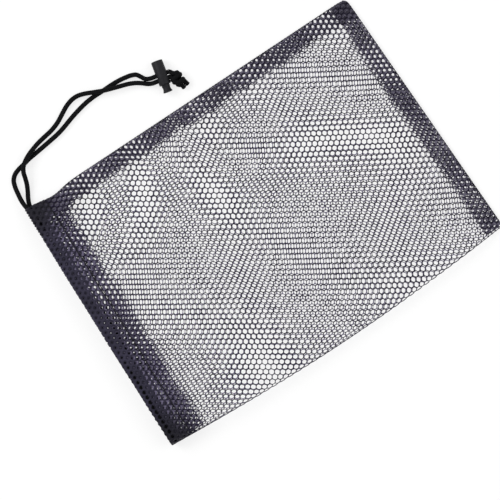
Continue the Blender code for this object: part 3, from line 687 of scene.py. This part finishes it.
def cord_mesh(name, path, around=32, radii=None, braid=True):
    """A cord, thread or wire along a path, with closed ends. Without radii it has the drawcord's."""
    across, up = rings_along(path)
    runs = runs_along(path)
    angles = np.linspace(0.0, 2.0 * math.pi, around, endpoint=False)
    radii = np.full(len(path), CORD_R) if radii is None else radii
    turn = 2.0 * math.pi * runs[:, None] / BRAID_PITCH
    relief = np.sin(BRAID_PAIRS * angles + turn) * np.sin(BRAID_PAIRS * angles - turn) if braid else 0.0
    size = radii[:, None] * (1.0 + BRAID_RELIEF * (relief - BRAID_SINK))
    ring = (path[:, None, :] + across[:, None, :] * (size * np.cos(angles))[..., None]
            + up[:, None, :] * (size * np.sin(angles))[..., None])
    count = len(path)
    points = np.concatenate((ring.reshape(-1, 3), path[:1], path[-1:]))
    index = np.arange(count * around).reshape(count, around)
    ahead = np.roll(index, -1, axis=1)
    quads = np.stack((index[:-1], ahead[:-1], ahead[1:], index[1:]), axis=-1).reshape(-1, 4)
    mesh = bpy.data.meshes.new(name)
    faces = quads.tolist()
    faces += [(a, count * around, b) for a, b in zip(ahead[0].tolist(), index[0].tolist())]
    faces += [(a, count * around + 1, b) for a, b in zip(index[-1].tolist(), ahead[-1].tolist())]
    mesh.from_pydata((points * MM).tolist(), [], faces)
    mesh.update()
    mesh.shade_smooth()
    return mesh


def strand_end(across):
    """How far along the lock's direction a strand runs before it meets the knot."""
    share = (across - CORD_R - KNOT_CENTRE[1]) / KNOT_RADII[1]
    return KNOT_CENTRE[0] - KNOT_RADII[0] * math.sqrt(1.0 - share**2) - GAP


def strand_route(route, across):
    points = [Vector(p) for p in route]
    points += [lock_point(along, across) for along in np.linspace(-STRAIGHT, strand_end(across), 5)]
    return points


for letter, route, across in (("a", STRAND_A, PAIR_OFFSET), ("b", STRAND_B, -PAIR_OFFSET)):
    path = smooth_route(strand_route(route, across), CORD_STEP)
    name = f"drawcord_strand_{letter}"
    ob = piece(name, cord_mesh(name, path), cord_look, "bag", [f"cord_strand_{letter}"])

# ---------------------------------------------------------------- net pieces

# Each zone's word, the CAD nodes that it stands for in front and behind, and its flat width and length
PANEL_LENGTH = END_X - stitch_x(0.0)
SIDE_LENGTH = PANEL_LENGTH + CHANNEL + HEM_FLAP
ZONES = {
    PANEL: ("net", {1: ("net_front_panel", "net_fold_edge"), -1: ("net_back_panel",)},
            (CLOTH_WIDTH, PANEL_LENGTH)),
    CHANNEL_WALL: ("channel", {1: ("mouth_channel_front", "mouth_channel_fold"), -1: ("mouth_channel_back",)},
                   (2.0 * CHANNEL, CLOTH_WIDTH)),
    HEM: ("hem", {1: ("channel_hem_front",), -1: ("channel_hem_back",)}, (HEM_FLAP, CLOTH_WIDTH)),
    SIDE_ALLOWANCE: ("side_allowance", {1: ("side_seam_allowance_front",), -1: ("side_seam_allowance_back",)},
                     (SIDE_FLAP, SIDE_LENGTH)),
    END_ALLOWANCE: ("end_allowance", {1: ("end_seam_allowance_front",), -1: ("end_seam_allowance_back",)},
                    (END_FLAP, CLOTH_WIDTH)),
}


# Every zone but the outer front panel takes a look painted paler, as painted light through the yarn
def zone_look(zone, side):
    if zone == PANEL:
        return net_look if side > 0 else inner_painted_look
    if zone == CHANNEL_WALL:
        return channel_painted_look
    return inner_painted_look if zone == HEM else allowance_painted_look


def paint_turned_in(mesh, turned_in):
    """The inner layers' look, painted paler as painted light through the yarn, for the faces of the cells
    that are turned in.
    """
    mesh.materials.append(inner_painted_look)
    faces = np.zeros(len(mesh.polygons), dtype=np.int32)
    of_cells = np.repeat(turned_in, RING)
    faces[:2 * len(of_cells)] = np.tile(of_cells, 2)
    mesh.polygons.foreach_set("material_index", faces)


def yarn_area(openness):
    """Area of the yarn round the given cells' holes, in square metres."""
    cell_area = COLUMN * ROW * MM**2
    return float(np.sum(cell_area * (1.0 - hole_share() * openness**2)))


all_centres = cell_centres()
sheets = []
for side, side_word in ((1, "front"), (-1, "back")):
    zones, openness, turned_in = cell_zone(all_centres, side)
    for zone, (word, stands_for, (width, length)) in ZONES.items():
        name = f"{word}_{side_word}"
        chosen = zones == zone
        mesh = net_mesh(name, all_centres[chosen], side, openness[chosen])
        ob = piece(name, mesh, zone_look(zone, side), "bag", stands_for[side])
        if zone == CHANNEL_WALL:
            paint_turned_in(mesh, turned_in[chosen])
        sheets.append((ob, width * MM, length * MM, yarn_area(openness[chosen])))

# ---------------------------------------------------------------- cord in the channel

def round_the_mouth(back_s, front_s, depths, end_y, step):
    """Points round the mouth, from the exit along the back, round the fold and along the front, and the
    outward direction at each. back_s(y) and front_s are distances from the mouth edge, and depths are below
    the outer face, behind and in front."""
    radius = 0.5 * MOUTH_HEIGHT
    y_back = np.arange(end_y, FOLD_CENTRE, -step)
    angles = np.linspace(-0.5 * math.pi, 0.5 * math.pi, int(math.pi * radius / step))
    y_front = np.append(np.arange(FOLD_CENTRE, end_y, step), end_y)
    depth = depths[0] + (depths[1] - depths[0]) * (angles / math.pi + 0.5)
    turn_y = FOLD_CENTRE - (radius - depth) * np.cos(angles)
    turn_s = back_s(FOLD_CENTRE) + (front_s - back_s(FOLD_CENTRE)) * smooth(angles / math.pi + 0.5)
    back = np.stack((mouth_x(y_back) + back_s(y_back), y_back, np.full(len(y_back), depths[0])), axis=1)
    turn = np.stack((mouth_x(turn_y) + turn_s, turn_y, radius + (radius - depth) * np.sin(angles)), axis=1)
    heights = front_height(stitch_x(y_front), y_front) - depths[1]
    front = np.stack((mouth_x(y_front) + front_s, y_front, heights), axis=1)
    outward = np.zeros((len(back) + len(turn) + len(front), 3))
    outward[:len(back), 2] = -1.0
    outward[len(back):len(back) + len(turn), 1] = -np.cos(angles)
    outward[len(back):len(back) + len(turn), 2] = np.sin(angles)
    outward[len(back) + len(turn):, 2] = 1.0
    return np.concatenate((back, turn, front)), outward


CHANNEL_CORD_END = CHANNEL_END + 4.0 * GAP
channel_path, _ = round_the_mouth(back_cord, FRONT_CORD, (CORD_DEPTH, CORD_DEPTH), CHANNEL_CORD_END, 1.0)
channel_cord = cord_mesh("drawcord_in_channel_braid", evenly(channel_path, CORD_STEP), around=24)
piece("drawcord_in_channel_braid", channel_cord, cord_look, "bag", ["drawcord_in_channel"])

# ---------------------------------------------------------------- stitching

THREAD_R = 0.36
STITCH = 2.6
STITCH_DIP = 0.9
THREAD_STEP = 0.2
SEAM_INSET = 0.8
SEAM_SWING, SEAM_CLIMB = 0.25, 0.8
TACK_ROWS, TACK_LEAN, TACK_STEP = 13, 0.15, 0.3
# How far each row of stitches starts and stops from its edges
SIDE_ROW_START, SIDE_ROW_STOP = 2.8, 8.0
END_ROW_START, END_ROW_STOP = 4.0, 7.0
CHANNEL_ROW_START, BACK_ROW_SINK = 1.2, 0.38


def plain_tube(name, path, around, radius):
    return cord_mesh(name, path, around, np.full(len(path), radius), braid=False)


def thread(name, path, nodes):
    piece(name, plain_tube(name, path, 8, THREAD_R), thread_look, "bag", nodes)


def stitched(path, outward):
    """Lockstitches: the thread lies on the net and dips through it at every stitch."""
    share = (runs_along(path) / STITCH) % 1.0
    dip = STITCH_DIP * smooth((2.0 * np.abs(share - 0.5) - 0.7) / 0.3)
    return path - outward * dip[:, None]


def zigzag(runs, length, reach):
    """Straight swings of one length each, from -reach to reach."""
    return reach * (2.0 * np.abs(2.0 * ((runs / length) % 1.0) - 1.0) - 1.0)


def channel_row():
    """One row of stitches round the mouth, a little uneven."""
    start_y = CHANNEL_END - CHANNEL_ROW_START
    row, away = round_the_mouth(lambda y: CHANNEL, CHANNEL, (BACK_ROW_SINK, 0.0), start_y, THREAD_STEP)
    row[:, 0] += 0.22 * np.sin(row[:, 1] / 6.1) + 0.12 * np.sin(row[:, 1] / 1.7 + 1.0)
    row[:, 1] -= exit_dip(row[:, 0], row[:, 1])
    return stitched(row, away)


def side_row():
    x = np.arange(stitch_x(SEAM_Y) + SIDE_ROW_START, end_line(SEAM_Y) - SIDE_ROW_STOP, THREAD_STEP)
    y = np.full(len(x), SEAM_Y - SEAM_INSET)
    across = y - exit_dip(x, y) + zigzag(x, 0.5 * STITCH, SEAM_SWING)
    height = 0.5 * front_height(x, y) + zigzag(x, STITCH, SEAM_CLIMB)
    return np.stack((x, across, height), axis=1)


def end_row():
    y = np.arange(fold_y(END_X) + END_ROW_START, SEAM_Y - END_ROW_STOP, THREAD_STEP)
    along = end_x(y) - SEAM_INSET + zigzag(y, 0.5 * STITCH, SEAM_SWING)
    height = 0.5 * SEAM_HEIGHT + zigzag(y, STITCH, SEAM_CLIMB)
    return np.stack((along, y, height), axis=1)


def tack_rows():
    """Two layers of close stitches across the corner where the cord comes out."""
    low, high = (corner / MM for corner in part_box("exit_bar_tack"))
    ends = (low.x + THREAD_R, high.x - THREAD_R)
    path = []
    for y, phase in ((low.y + THREAD_R, 0), (high.y - THREAD_R, 1)):
        for i, z in enumerate(np.linspace(low.z + THREAD_R, high.z - THREAD_R, TACK_ROWS)):
            start = ends[(i + phase) % 2]
            finish = ends[(i + phase + 1) % 2]
            path += [(start, y, z), (finish, y, z + TACK_LEAN)]
    path = evenly(np.array(path), TACK_STEP)
    path[:, 1] -= exit_dip(path[:, 0], path[:, 1])
    return path


thread("channel_stitches", channel_row(), ["channel_thread"])
thread("side_seam_stitches", side_row(), ["side_seam_thread"])
thread("end_seam_stitches", end_row(), ["end_seam_thread"])
thread("exit_bar_tack_stitches", tack_rows(), ["exit_bar_tack"])

# ---------------------------------------------------------------- knot and tails

KNOT_MIDDLE = np.array((10.9, -5.2))
KNOT_WAY = np.array((0.45, -0.89))
KNOT_OUT = np.array((0.89, 0.45))
WRAP_TALL = 2.75
TAIL_START, TAIL_LEAN = np.array((13.3, -9.8)), np.array((0.41, -0.91))
TAIL_SIDE = np.array((0.91, 0.41))
TAIL_LENGTH, TAIL_OFFSET = 4.2, 1.85
TAIL_LEVEL, TAIL_DROP, TAIL_STEP = -1.2, 1.4, 0.2
TAIL_IN_KNOT = 0.4
BEAD_SIZE, BEAD_FROM_END, BEAD_RUN, BLUNT = 0.06, 0.9, 0.5, 0.02


def turns(offsets, widths, aside, angles, count):
    """Turns round the knot's core as (along, across, rise). Angles are in degrees, from the outer side over
    the top, and the offset along the core and the width go from the first value to the second."""
    share = np.linspace(0.0, 1.0, count)
    angle = np.radians(angles[0] + (angles[1] - angles[0]) * share)
    offset = offsets[0] + (offsets[1] - offsets[0]) * share
    width = widths[0] + (widths[1] - widths[0]) * share
    flat = KNOT_MIDDLE + KNOT_WAY * offset[:, None] + KNOT_OUT * (width * np.cos(angle) - aside)[:, None]
    return [(*spot, rise) for spot, rise in zip(flat, WRAP_TALL * np.sin(angle))]


KNOT_START_GAP = 0.02
knot_routes = (
    [
        (strand_end(PAIR_OFFSET) + KNOT_START_GAP, PAIR_OFFSET, 0.0),
        (6.4, 1.85, 0.1), (7.3, 1.0, 0.9), (8.5, -0.3, 2.1),
        *turns((-3.5, 0.4), (3.3, 3.9), 0.4, (50.0, -540.0), 20),
        (10.5, -8.0, 0.0), (13.2, -8.6, -0.6), (15.0, -9.0, -1.2),
    ],
    [
        (strand_end(-PAIR_OFFSET) + KNOT_START_GAP, -PAIR_OFFSET, 0.0),
        (5.6, -2.1, 0.1), (6.6, -3.1, 1.0), (7.0, -5.6, 2.2), (8.4, -8.2, 2.7),
        *turns((3.5, 3.5), (3.0, 3.0), 0.7, (100.0, -190.0), 9),
        (10.3, -10.6, -0.5), (11.6, -10.9, -1.2),
    ],
)
knot_meshes = []
for i, route in enumerate(knot_routes):
    path = smooth_route([lock_point(*point) for point in route], CORD_STEP)
    knot_meshes.append(cord_mesh(f"knot_cord_{i}", path))
joined = bmesh.new()
for mesh in knot_meshes:
    joined.from_mesh(mesh)
knot_mesh = bpy.data.meshes.new("end_knot")
joined.to_mesh(knot_mesh)
joined.free()
piece("end_knot", knot_mesh, cord_look, "bag", ["cord_end_knot"])

for letter, offset in (("a", -TAIL_OFFSET), ("b", TAIL_OFFSET)):
    first = TAIL_START + TAIL_SIDE * offset
    route = []
    for share in np.linspace(-TAIL_IN_KNOT, 1.0, 6):
        flat = first + TAIL_LEAN * TAIL_LENGTH * share
        route.append(lock_point(*flat, TAIL_LEVEL - TAIL_DROP * share))
    path = smooth_route(route, TAIL_STEP)
    # the melted end: a slight bead, then rounded off
    from_end = runs_along(path)[-1] - runs_along(path)
    bead = 1.0 + BEAD_SIZE * bell((from_end - BEAD_FROM_END) / BEAD_RUN)
    round_off = np.sqrt(1.0 - (1.0 - np.clip((from_end + BLUNT) / BEAD_FROM_END, 0.0, 1.0)) ** 2)
    name = f"sealed_tail_{letter}"
    tail_mesh = cord_mesh(name, path, radii=CORD_R * bead * round_off)
    piece(name, tail_mesh, cord_look, "bag", [f"cord_tail_{letter}"])

# ---------------------------------------------------------------- cord lock

BARREL_R, BARREL_END_R, BARREL_LENGTH = 4.7, 4.6, 19.5
BORE_R, END_WALL, EDGE_ROUND, BORE_BEVEL = 3.55, 1.5, 0.5, 0.3
HOLE_FROM_RIM, HOLE_LENGTH, HOLE_HEIGHT, CUTTER_REACH = 6.5, 8.2, 4.5, 8.0
TRAVEL = 3.0
PLUNGER_R, PLUNGER_TIP, PLUNGER_ROUND = 3.25, 12.1, 0.4
BUTTON_R, BUTTON_OUT = 3.75, 6.2
# The button's waist, by height above its face: the waist itself, and where the curve starts and ends
WAIST_R, WAIST, WAIST_TOP, WAIST_LOW, WAIST_SWELL = 3.0, 3.4, 4.6, 0.6, 0.17
DISH_R, DISH_EDGE, DISH_DEPTH = 2.2, 0.25, 0.35
SPRING_R, SPRING_WIRE_R, SPRING_TURNS, SPRING_POINTS = 2.6, 0.25, 3.5, 400
LOCK_TURN = Matrix((LOCK_ALONG, (0.0, 0.0, -1.0), LOCK_AXIS)).transposed().to_4x4()
LOCK_FRAME = Matrix.Translation(LOCK_CENTRE * MM) @ LOCK_TURN


def fillet(radius, height, size, start, end):
    """Points of a rounded corner: its arc's centre is at radius and height, and its angles are in degrees."""
    angles = np.radians(np.linspace(start, end, 6))
    return [(radius + size * math.cos(a), height + size * math.sin(a)) for a in angles]


def lathe(profile, around=96):
    """A bmesh turned round the barrel's axis. The profile runs from axis to axis, far end first."""
    made = bmesh.new()
    rings = []
    for radius, height in profile:
        count = around if radius > 0.0 else 1
        angles = [2.0 * math.pi * i / around for i in range(count)]
        rings.append([made.verts.new((radius * math.cos(a) * MM, radius * math.sin(a) * MM, height * MM))
                      for a in angles])
    for upper, lower in zip(rings, rings[1:]):
        for i in range(around):
            j = (i + 1) % around
            corners = [ring[k % len(ring)] for ring, k in ((upper, i), (lower, i), (lower, j), (upper, j))]
            made.faces.new(list(dict.fromkeys(corners)))
    bmesh.ops.recalc_face_normals(made, faces=made.faces)
    return made


def slot_bar(length, height, shift):
    """A bmesh of a bar with half-round ends that cuts the cord hole. Its length lies along the barrel."""
    made = bmesh.new()
    radius = 0.5 * height
    outline = []
    for centre, start in ((0.5 * length - radius, 0.0), (radius - 0.5 * length, math.pi)):
        for i in range(17):
            angle = start + math.pi * i / 16
            outline.append((radius * math.cos(angle), centre + radius * math.sin(angle) + shift))
    ends = []
    for along in (-CUTTER_REACH, CUTTER_REACH):
        ends.append([made.verts.new((along * MM, across * MM, up * MM)) for across, up in outline])
    count = len(outline)
    for i in range(count):
        made.faces.new((ends[0][i], ends[0][(i + 1) % count], ends[1][(i + 1) % count], ends[1][i]))
    made.faces.new(ends[0])
    made.faces.new(ends[1])
    bmesh.ops.recalc_face_normals(made, faces=made.faces)
    return made


def moulded(name, profile, hole, body, node):
    """A turned piece with the cord hole cut through it."""
    objects = []
    for part_name, shape in ((name, lathe(profile)), (f"{name}_cutter", hole)):
        mesh = bpy.data.meshes.new(part_name)
        shape.to_mesh(mesh)
        shape.free()
        mesh.transform(LOCK_FRAME)
        ob = bpy.data.objects.new(part_name, mesh)
        bpy.context.scene.collection.objects.link(ob)
        objects.append(ob)
    whole, cutter = objects
    boolean = whole.modifiers.new("cord_hole", "BOOLEAN")
    boolean.operation = "DIFFERENCE"
    boolean.solver = "EXACT"
    boolean.object = cutter
    evaluated = whole.evaluated_get(bpy.context.evaluated_depsgraph_get())
    mesh = bpy.data.meshes.new_from_object(evaluated)
    mesh.name = name
    mesh.shade_smooth()
    mesh.set_sharp_from_angle(angle=math.radians(35.0))
    for ob in objects:
        bpy.data.objects.remove(ob, do_unlink=True)
    return piece(name, mesh, plastic_look, body, [node])


def waist_radius(height):
    """Radius of the button at a height above its face: narrowest at the waist and flared towards its edge."""
    below_waist = WAIST - height
    if below_waist > 0.0:
        return WAIST_R + (BUTTON_R - WAIST_R) * (below_waist / (WAIST - WAIST_LOW)) ** 2
    return WAIST_R + WAIST_SWELL * below_waist**2


def spring_path(low, high):
    """The spring's wire, from a height low to a height high above the middle of the lock."""
    points = []
    for share in np.linspace(0.0, 1.0, SPRING_POINTS):
        angle = 2.0 * math.pi * SPRING_TURNS * share
        local = Vector((SPRING_R * math.cos(angle), SPRING_R * math.sin(angle), low + (high - low) * share))
        points.append(tuple(LOCK_FRAME @ (local * MM) / MM))
    return np.array(points)


barrel_top, rim = BARREL_LENGTH - HOLE_FROM_RIM, -HOLE_FROM_RIM
barrel_profile = [
    (0.0, barrel_top),
    *fillet(BARREL_END_R - EDGE_ROUND, barrel_top - EDGE_ROUND, EDGE_ROUND, 90.0, 0.0),
    *fillet(BARREL_R - EDGE_ROUND, rim + EDGE_ROUND, EDGE_ROUND, 0.0, -90.0),
    (BORE_R + BORE_BEVEL, rim),
    (BORE_R, rim + BORE_BEVEL),
    (BORE_R, barrel_top - END_WALL),
    (0.0, barrel_top - END_WALL),
]
barrel_hole = slot_bar(HOLE_LENGTH, HOLE_HEIGHT, 0.0)
moulded("lock_barrel_moulding", barrel_profile, barrel_hole, "lock_body", "lock_barrel")

tip, face = PLUNGER_TIP - HOLE_FROM_RIM, rim - BUTTON_OUT
plunger_profile = [
    (0.0, tip),
    *fillet(PLUNGER_R - PLUNGER_ROUND, tip - PLUNGER_ROUND, PLUNGER_ROUND, 90.0, 0.0),
    *[(waist_radius(height), face + height) for height in np.linspace(WAIST_TOP, WAIST_LOW, 15)],
    *fillet(BUTTON_R - EDGE_ROUND, face + EDGE_ROUND, EDGE_ROUND, 0.0, -90.0),
    (DISH_R, face + DISH_EDGE),
    (0.0, face + DISH_DEPTH),
]
# long enough for the cords to stay put while the button is pressed
plunger_hole = slot_bar(HOLE_LENGTH + TRAVEL, HOLE_HEIGHT, -0.5 * TRAVEL)
moulded("lock_button_moulding", plunger_profile, plunger_hole, "lock_button", "lock_plunger")

spring_low = tip + GAP + SPRING_WIRE_R
spring_high = barrel_top - END_WALL - GAP - SPRING_WIRE_R
coil_mesh = plain_tube("lock_spring_coil", spring_path(spring_low, spring_high), 16, SPRING_WIRE_R)
spring = piece("lock_spring_coil", coil_mesh, steel_look, None, ["lock_spring"])
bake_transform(spring)

# ---------------------------------------------------------------- each net piece's side, read from its name

for ob, width, length, covered in sheets:
    side_word = ob.name.rsplit("_", 1)[1]

# ---------------------------------------------------------------- floor, light

# In metres
FLOOR_REACH, FLOOR_DROP = 3.0, 0.0002
floor_corners = [(x * FLOOR_REACH, y * FLOOR_REACH, 0.0) for x, y in ((-1, -1), (1, -1), (1, 1), (-1, 1))]
floor_mesh = bpy.data.meshes.new("floor")
floor_mesh.from_pydata(floor_corners, [], [(0, 1, 2, 3)])
floor = bpy.data.objects.new("floor", floor_mesh)
floor.location.z = -FLOOR_DROP
bpy.context.scene.collection.objects.link(floor)
floor_look, _, floor_shader = nodes_of("floor")
floor_shader.inputs["Base Color"].default_value = (0.30, 0.30, 0.30, 1.0)
floor_shader.inputs["Roughness"].default_value = 0.9
floor_shader.inputs["Emission Color"].default_value = (1.0, 1.0, 1.0, 1.0)
floor_shader.inputs["Emission Strength"].default_value = 0.72
floor.data.materials.append(floor_look)

scene = bpy.context.scene
scene.view_settings.view_transform = "Standard"
world = bpy.data.worlds.new("studio")
world.use_nodes = True
world.node_tree.nodes["Background"].inputs["Color"].default_value = (1.0, 1.0, 1.0, 1.0)
world.node_tree.nodes["Background"].inputs["Strength"].default_value = 0.55
scene.world = world


def area_light(name, place_at, size, power):
    """A square light that faces the bag."""
    data = bpy.data.lights.new(name, "AREA")
    data.shape = "SQUARE"
    data.size = size
    data.energy = power
    lamp = bpy.data.objects.new(name, data)
    lamp.location = place_at
    lamp.rotation_mode = "QUATERNION"
    lamp.rotation_quaternion = (-Vector(place_at)).to_track_quat("-Z", "Y")
    scene.collection.objects.link(lamp)


area_light("key", (-0.9, 1.1, 1.3), size=0.9, power=16.0)
area_light("fill", (1.2, -0.4, 1.4), size=1.2, power=8.0)
